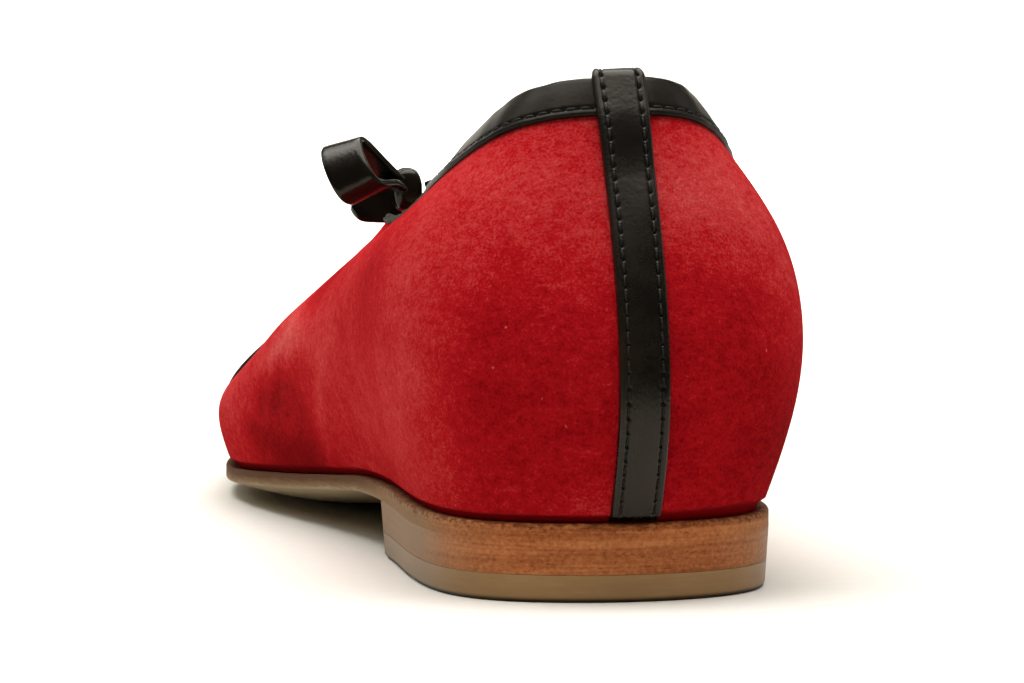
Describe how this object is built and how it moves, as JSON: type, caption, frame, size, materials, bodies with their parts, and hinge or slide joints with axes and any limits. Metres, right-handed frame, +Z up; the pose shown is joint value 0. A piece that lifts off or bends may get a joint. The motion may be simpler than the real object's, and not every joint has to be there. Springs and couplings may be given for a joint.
{
  "type": "ballet flat",
  "caption": "Left-foot ballet flat: hollow red suede upper edged in black leather, with a toe cap, back strap and bow, on a thin leather sole and low stacked heel.",
  "frame": {"origin": "on the floor, under the middle of the shoe's box", "axes": "+Y from heel to toe, -X to the outer side of the left foot, +Z up"},
  "size_m": [0.078, 0.2482, 0.0696],
  "materials": {
    "heel_rubber": "matt taupe rubber",
    "stacked_leather": "stacked leather, polished edge",
    "sole_leather": "natural sole leather",
    "lining_leather": "natural lining leather",
    "suede": "suede nap",
    "black_leather": "smooth black leather"
  },
  "bodies": {
    "root": {"top_piece": "heel_rubber", "heel_stack": "stacked_leather", "outsole": "sole_leather", "insole": "lining_leather", "upper": "suede", "toe_cap": "black_leather", "topline_band": "black_leather", "back_strap": "black_leather", "bow_knot": "black_leather", "bow_loop_lateral": "black_leather", "bow_loop_medial": "black_leather", "bow_tail_lateral": "black_leather", "bow_tail_medial": "black_leather"}
  },
  "joints": []
}
